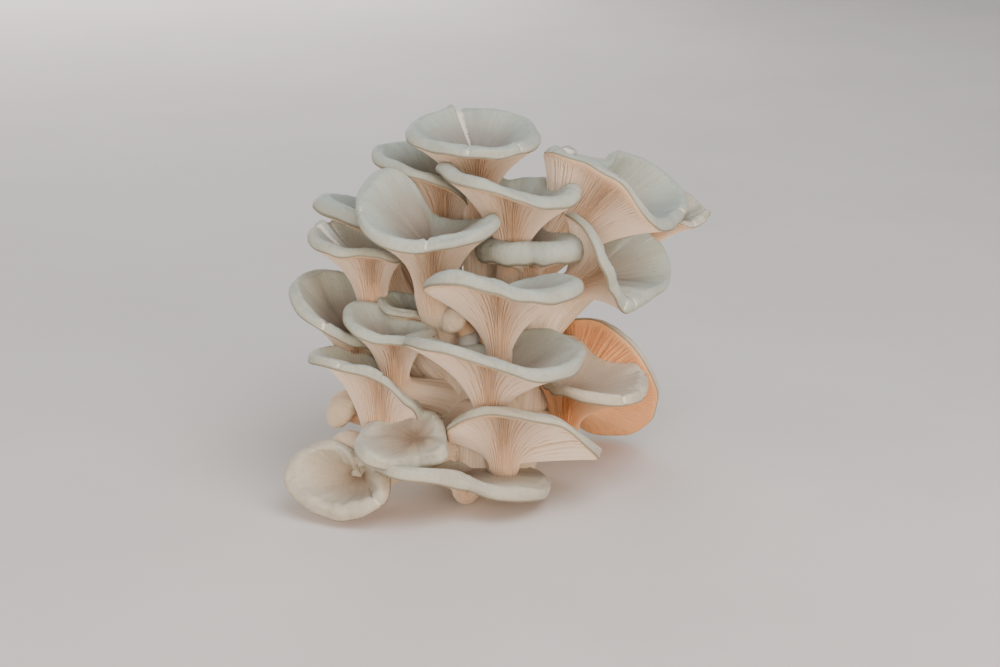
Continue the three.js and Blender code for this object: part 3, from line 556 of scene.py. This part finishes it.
def grow(row, seed, materials, tree, sockets):
    """One finished mushroom: skin, gill blades and stem in one mesh."""
    shape = Mushroom(row, seed)
    points, sheet, grain, torn = skin_grid(shape)
    rings, sides = sheet.shape
    quads, fans = grid_faces(rings, sides)
    flesh_from = BOWL_RINGS + ROLL_RINGS - 1
    slot = np.concatenate([(quads[:, 0] // sides >= flesh_from).astype(int),
                           np.zeros(sides, int), np.ones(sides, int)])
    flat = points.reshape(-1, 3)
    ends = np.stack([points[0].mean(0), points[-1].mean(0)])
    vertices = np.vstack([flat, ends])
    data = {
        "along": np.append(sheet.ravel(), [0.0, 4.0]),
        "grain": np.vstack([grain.reshape(-1, 3), [[0, 0, seed * 0.37], [0, 0, 4 + seed * 0.37]]]),
        "torn": np.append(torn.ravel(), [0.0, 0.0]),
        "edge": np.zeros(len(vertices)),
    }
    faces = quads.tolist() + fans.tolist()
    flat_shade = np.zeros(len(faces), bool)
    if shape.open:                     # a closed button shows no gills
        more, blades, facts = gill_blades(shape, tree, sockets)
        shift = len(vertices)
        faces += [tuple(i + shift for i in f) for f in blades]
        vertices = np.vstack([vertices, more])
        data["along"] = np.append(data["along"], facts["along"])
        data["edge"] = np.append(data["edge"], np.clip(facts["edge"], 0, 1))
        data["torn"] = np.append(data["torn"], np.zeros(len(more)))
        rel = more - shape.throat
        turn = np.arctan2(rel @ shape.back, rel @ shape.right)
        data["grain"] = np.vstack([data["grain"], np.stack(
            [np.cos(turn), np.sin(turn), facts["along"] + seed * 0.37], -1)])
        slot = np.append(slot, np.ones(len(blades), int))
        flat_shade = np.append(flat_shade, np.ones(len(blades), bool))
    for mark in ("pale_and_warm_bounce", "bowl_tan_and_shade"):
        data[mark] = np.full(len(vertices), row.get(mark, 0.0))
    vertices[:, 2] = np.maximum(vertices[:, 2], 0)     # a rim that touches the table is flat there
    piece = make_mesh(row["name"] + "_mushroom", vertices, faces, data, materials, slot, flat_shade)
    return piece


def base_mass(materials):
    """Fused stems above the cut: ridges that run up into the stems, closed by a flat cut face."""
    sides = BASE_SIDES
    angle = np.linspace(0, 2 * math.pi, sides, endpoint=False)
    heights = [h for h, _, _ in BASE_RINGS][::-1]
    widths = [w for _, w, _ in BASE_RINGS][::-1]
    depths = [d for _, _, d in BASE_RINGS][::-1]
    levels = np.concatenate([[0.0, 0.25, 0.7], np.linspace(1.5, 44, 40)])
    rings = []
    for z in levels[::-1]:
        pull = 1 - 0.02 * (1 - smooth(z, 0, 1.0))
        swell = 1 + 0.045 * wobble(angle, z / 9, 501, (5, 8, 11), 1.0) * smooth(z, 0, 10)
        swell = swell + 0.004 * wobble(angle, z / 4, 502, (21, 29, 37), 1.0)
        swell = np.minimum(swell, 1.06)
        ring = np.stack([np.interp(z, heights, widths) * np.cos(angle) * swell * pull,
                         np.interp(z, heights, depths) * np.sin(angle) * swell * pull,
                         np.full(sides, z)], -1)
        rings.append(ring)
    for shrink in (0.985, 0.9, 0.75, 0.5, 0.25):
        rings.append(rings[len(levels) - 1] * [shrink, shrink, 1])
    points = np.array(rings)
    quads, fans = grid_faces(len(rings), sides)
    vertices = np.vstack([points.reshape(-1, 3), points[0].mean(0), points[-1].mean(0)])
    count = len(vertices)
    height = vertices[:, 2]
    turn = np.arctan2(vertices[:, 1], vertices[:, 0])
    data = {
        "along": 3.5 + 0 * height, "edge": np.full(count, 0.6), "pale_and_warm_bounce": np.full(count, 0.3),
        "torn": np.zeros(count),
        "grain": np.stack([2 * np.cos(turn), 2 * np.sin(turn), height / 40], -1),
    }
    cut = (quads[:, 0] // sides >= len(levels) - 1).astype(int)
    slot = np.concatenate([cut, np.zeros(sides, int), np.ones(sides, int)])
    return make_mesh("fused_base", vertices, quads.tolist() + fans.tolist(), data, materials, slot)


# ---------------------------------------------------------------- materials

def add(tree, kind, settings=None, **inputs):
    """Adds a node, applies its settings, and sets or links its inputs by name or number."""
    node = tree.nodes.new(kind)
    for key, value in (settings or {}).items():
        setattr(node, key, value)
    for key, value in inputs.items():
        socket = node.inputs[int(key) if key.isdigit() else key.replace("_", " ")]
        if isinstance(value, bpy.types.NodeSocket):
            tree.links.new(value, socket)
        else:
            socket.default_value = value
    return node


def colour(text):
    """sRGB hex to linear RGBA."""
    parts = [int(text[i:i + 2], 16) / 255 for i in (1, 3, 5)]
    return tuple(p / 12.92 if p <= 0.04045 else ((p + 0.055) / 1.055) ** 2.4 for p in parts) + (1.0,)


def start_material(name, marks=()):
    """New node material, with the object's own coordinates and the marks that its mesh carries."""
    material = bpy.data.materials.new(name)
    material.use_nodes = True
    tree = material.node_tree
    tree.nodes.clear()
    read = [add(tree, "ShaderNodeTexCoord").outputs["Object"]]
    for mark in marks:
        node = add(tree, "ShaderNodeAttribute", {"attribute_name": mark})
        read.append(node.outputs["Vector" if mark == "grain" else "Fac"])
    return material, tree, read


def mottle(tree, source, repeats, detail=3.0):
    """Cloudy pattern from 0 to 1. repeats gives patches per metre, or per unit of the grain mark."""
    stretch = add(tree, "ShaderNodeMapping", Vector=source, Scale=repeats)
    cloud = add(tree, "ShaderNodeTexNoise", Vector=stretch.outputs["Vector"], Scale=1.0,
                Detail=detail, Roughness=0.6)
    return cloud.outputs["Fac"]


def lay_coats(tree, base, coats):
    """Lays coats of tint over a base colour.

    Each coat is its mask, where on the mask it starts and is full, its strength and its tint.
    """
    for mask, start, full, strength, tint in coats:
        amount = add(tree, "ShaderNodeMapRange", {"interpolation_type": "SMOOTHSTEP"}, Value=mask,
                     From_Min=start, From_Max=full, To_Max=strength)
        blend = add(tree, "ShaderNodeMix", {"data_type": "RGBA"},
                    **{"0": amount.outputs["Result"], "6": base,
                       "7": colour(tint) if isinstance(tint, str) else tint})
        base = blend.outputs[2]
    return base


def close_material(tree, base, dull, relief, depth, **settings):
    """Puts the surface together. dull is a pattern with its lowest and highest roughness."""
    pattern, low, high = dull
    rough = add(tree, "ShaderNodeMapRange", Value=pattern, From_Min=0.3, From_Max=0.7,
                To_Min=low, To_Max=high)
    bump = add(tree, "ShaderNodeBump", Strength=1.0, Distance=depth * MM, Height=relief)
    surface = add(tree, "ShaderNodeBsdfPrincipled", Base_Color=base, Roughness=rough.outputs["Result"],
                  Normal=bump.outputs["Normal"], **settings)
    add(tree, "ShaderNodeOutputMaterial", Surface=surface.outputs["BSDF"])


# Fresh mushroom flesh lets a little light through, redder the deeper it goes
SOFT_FLESH = {"Subsurface Radius": (1.0, 0.75, 0.55), "IOR": 1.4}


def cap_skin():
    """Fresh oyster mushroom cap skin: dull and suede-like, grey-green at the rim, darker and more tan in
    the bowl, partly its own tone and partly painted shade deep in the funnel.

    It shows the eye fine fibres that run out from the throat, soft blotches and white flesh where the rim
    has split.
    Painted on it are a thin dark line of shade where the rolled edge turns under, a warmer, slightly darker
    underside of the roll as painted shade with warm bounce light, and on the lower mushrooms a paler,
    warmer skin that is partly painted warm bounce light.
    """
    marks = ("along", "grain", "pale_and_warm_bounce", "torn", "bowl_tan_and_shade")
    material, tree, read = start_material("grey_suede_cap_skin", marks)
    place, along, grain, pale_and_warm_bounce, torn, bowl_tan_and_shade = read
    streak = mottle(tree, grain, (42, 42, 1.6), 4.0)      # fibres 0.7 mm apart at 30 mm from the throat
    broad = mottle(tree, grain, (7, 7, 1.1), 2.0)         # bands about 4 mm wide there
    blotch = mottle(tree, place, (70, 70, 70))            # soft patches 14 mm across
    fleck = mottle(tree, place, (420, 420, 420))          # small marks 2.4 mm across
    pore = mottle(tree, place, (1400, 1400, 1400), 2.0)   # felt of the skin, drawn 0.7 mm coarse
    # Both ramps darken steeply towards the throat: partly the skin's own darker, tan centre, partly painted
    # shade deep in the funnel.
    grey = lay_coats(tree, colour("#5d4c3b"), [
        (along, 0.02, 0.5, 1, "#948d80"), (along, 0.45, 1.0, 1, "#a9b3a8")])
    # The second ramp is the paler, warmer skin: partly its own tone, partly painted warm bounce light on
    # the lower mushrooms.
    pale = lay_coats(tree, colour("#8a6a4b"), [
        (along, 0.02, 0.5, 1, "#b9a48b"), (along, 0.45, 1.0, 1, "#cabda6")])
    split = add(tree, "ShaderNodeMath", {"operation": "MULTIPLY"}, **{"0": torn, "1": pore}).outputs[0]
    # Painted shade: this mask darkens the bowl towards the throat, partly a tan tone of the skin and partly
    # shade deep in the funnels.
    fading = {"0": along, "1": -0.6, "2": bowl_tan_and_shade}
    throat_tan_and_shade = add(tree, "ShaderNodeMath", {"operation": "MULTIPLY_ADD"}, **fading).outputs[0]
    # The first coat turns the skin paler and warmer: partly its own tone, partly painted warm bounce light
    # on the lower mushrooms.
    base = lay_coats(tree, grey, [
        (pale_and_warm_bounce, 0, 1, 1, pale), (throat_tan_and_shade, 0, 1, 0.85, "#7d5f45"),
        (broad, 0.35, 0.7, 0.3, "#9c9482"), (streak, 0.42, 0.72, 0.22, "#cbc9be"),
        (blotch, 0.5, 0.7, 0.22, "#a59c84"), (fleck, 0.56, 0.68, 0.25, "#8f8470"),
        # Painted shade with warm bounce light: the roll's outer and lower side a little warmer and darker;
        # then a thin dark line of painted shade where the roll turns under.
        (along, 1.4, 1.8, 0.3, "#b0a68f"), (along, 1.86, 1.93, 0.65, "#75674f"),
        (split, 0.12, 0.3, 0.9, "#ece2d2")])
    relief = add(tree, "ShaderNodeMath", {"operation": "ADD"}, **{"0": streak, "1": pore}).outputs[0]
    close_material(tree, base, (blotch, 0.48, 0.64), relief, 0.26, Subsurface_Weight=0.12,
                   Subsurface_Scale=0.0018, Specular_IOR_Level=0.35, Sheen_Weight=0.08, **SOFT_FLESH)
    return material


def gill_flesh():
    """Gills and stem: thin pale blades over a fibrous stem, with painted shade in the valleys between
    the blades, and painted warm bounce light that turns the gills peach on the paler, lower mushrooms.
    """
    marks = ("along", "grain", "pale_and_warm_bounce", "edge")
    material, tree, read = start_material("cream_gill_and_stem_flesh", marks)
    place, along, grain, pale_and_warm_bounce, edge = read
    streak = mottle(tree, grain, (26, 26, 1.2), 4.0)      # fibres 1.2 mm apart under a 30 mm cap
    blotch = mottle(tree, place, (55, 55, 55))            # patches 18 mm across
    pore = mottle(tree, place, (1500, 1500, 1500), 2.0)
    # Painted shade: both gill colours are darker at the blade's foot and in the valleys between blades than
    # at the edge. The peach pair is painted warm bounce light on the paler, lower mushrooms, and the first
    # pair is a little warmed by it too.
    under = lay_coats(tree, colour("#dcba98"), [(edge, 0, 0.8, 1, "#f6e2cb")])
    bounce_lit_gill = lay_coats(tree, colour("#f0b57f"), [(edge, 0, 0.8, 1, "#f9c998")])
    stem = lay_coats(tree, colour("#f4e2cb"), [(streak, 0.35, 0.7, 1, "#dac6af")])
    base = lay_coats(tree, under, [
        (pale_and_warm_bounce, 0.6, 0.8, 1, bounce_lit_gill), (along, 2.9, 3.3, 1, stem),
        (blotch, 0.5, 0.75, 0.2, "#e0bf9f")])
    relief = add(tree, "ShaderNodeMath", {"operation": "ADD"}, **{"0": streak, "1": pore}).outputs[0]
    close_material(tree, base, (streak, 0.5, 0.68), relief, 0.3, Subsurface_Weight=0.18,
                   Subsurface_Scale=0.0025, Specular_IOR_Level=0.3, **SOFT_FLESH)
    return material


def button_skin():
    """Skin of a closed button: smooth and dull, bluish grey turning pale buff, partly its own paler tone
    and partly painted warm bounce light on the lower buds, with faint blotches and fibres.
    """
    material, tree, (place, grain, pale_and_warm_bounce) = start_material("cream_button_skin", ("grain", "pale_and_warm_bounce"))
    streak = mottle(tree, grain, (16, 16, 1.6), 4.0)      # fibres 0.5 mm apart on an 8 mm button
    blotch = mottle(tree, place, (160, 160, 160))         # patches 6 mm across
    # Partly painted warm bounce light: the lower buds turn paler and warmer.
    base = lay_coats(tree, colour("#a9b4ba"), [
        (pale_and_warm_bounce, 0, 1, 1, "#e0caab"), (blotch, 0.45, 0.7, 0.45, "#cbae8c"),
        (streak, 0.4, 0.7, 0.3, "#ecdfcb")])
    close_material(tree, base, (blotch, 0.48, 0.62), streak, 0.2, Subsurface_Weight=0.18,
                   Subsurface_Scale=0.002, Specular_IOR_Level=0.35, **SOFT_FLESH)
    return material


def cut_flesh():
    """Cut face under the base: pale, open and fibrous, with a few darker pits."""
    material, tree, (place,) = start_material("cut_fibrous_flesh")
    cells = add(tree, "ShaderNodeTexVoronoi", {"feature": "F1"}, Vector=place, Scale=620.0)
    pits = cells.outputs["Distance"]                      # open pits 1.6 mm apart
    blotch = mottle(tree, place, (90, 90, 90), 4.0)
    base = lay_coats(tree, colour("#bfa788"), [
        (pits, 0.1, 0.6, 1, "#e8dcc8"), (blotch, 0.5, 0.7, 0.5, "#b08f6c")])
    close_material(tree, base, (blotch, 0.6, 0.8), pits, 0.4, Subsurface_Weight=0.12,
                   Subsurface_Scale=0.002, **SOFT_FLESH)
    return material


def floor_paint():
    """Matt pale studio board with a very faint mottle."""
    material, tree, (place,) = start_material("pale_matt_board")
    cloud = mottle(tree, place, (6, 6, 6), 4.0)
    base = lay_coats(tree, colour("#d9d3cc"), [(cloud, 0.3, 0.7, 1, "#dfd9d2")])
    close_material(tree, base, (cloud, 0.83, 0.87), cloud, 0.1)
    return material


# ---------------------------------------------------------------- the cluster

skin, flesh, pale_button, cut_face = cap_skin(), gill_flesh(), button_skin(), cut_flesh()
tree, sockets = blade_tree(flesh)
for number, row in enumerate(MUSHROOMS):
    closed = row["name"].endswith("bud")
    dress = (pale_button if closed else skin, flesh)
    piece = grow(row, 100 * (number + 1), dress, tree, sockets)
    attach(piece, "root")
    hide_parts(row["name"])

base = base_mass((flesh, cut_face))
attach(base, "root")
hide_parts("base")

# ---------------------------------------------------------------- floor, light and camera

EYE_HEIGHT = math.radians(18)          # the camera looks down by this much
AIM = np.array([8.4, 0.0, 64.0])
LENS, SENSOR, FRAME_WIDTH = 85.0, 36.0, 420.0
distance = FRAME_WIDTH / 2 / (SENSOR / 2 / LENS)
ahead = np.array([0, math.cos(EYE_HEIGHT), -math.sin(EYE_HEIGHT)])

lens = bpy.data.cameras.new("camera")
lens.lens, lens.sensor_width, lens.sensor_fit = LENS, SENSOR, "HORIZONTAL"
lens.clip_start, lens.clip_end = 0.05, 20
camera = bpy.data.objects.new("camera", lens)
camera.location = (AIM - ahead * distance) * MM
camera.rotation_euler = (math.pi / 2 - EYE_HEIGHT, 0, 0)
bpy.context.scene.collection.objects.link(camera)
bpy.context.scene.camera = camera

BOARD = 6000                           # half the side of the board that the cluster stands on
corners = [(-BOARD, -BOARD, 0), (BOARD, -BOARD, 0), (BOARD, BOARD, 0), (-BOARD, BOARD, 0)]
floor = make_mesh("floor", corners, [(0, 1, 2, 3)], {}, (floor_paint(),), [0], [True])

world = bpy.data.worlds.new("studio")
world.use_nodes = True
backdrop = world.node_tree.nodes["Background"]
backdrop.inputs["Color"].default_value = colour("#dfe3ea")
backdrop.inputs["Strength"].default_value = 0.5
bpy.context.scene.world = world


def lamp(name, place, size, watts, tint, target=(0, 0, 80)):
    light = bpy.data.lights.new(name, "AREA")
    light.shape, light.size, light.size_y = "RECTANGLE", size, size
    light.energy, light.color = watts, colour(tint)[:3]
    thing = bpy.data.objects.new(name, light)
    spot = np.array(place, float) * MM
    thing.location = spot
    aim = unit(np.array(target, float) * MM - spot)
    thing.rotation_euler = (math.acos(-aim[2]), 0, math.atan2(aim[0], -aim[1]) + math.pi)
    bpy.context.scene.collection.objects.link(thing)


lamp("window", (300, -450, 950), 0.8, 8.5, "#f1f5ff")
lamp("front_fill", (-150, -1200, 260), 0.9, 9.0, "#fff1e4")
lamp("low_fill", (650, -950, 50), 0.9, 15.0, "#ffe2c6")
lamp("left_fill", (-900, -500, 150), 0.8, 4.0, "#fff0e2")
lamp("back_fill", (-350, 1100, 420), 0.9, 7.0, "#f7f4f0")
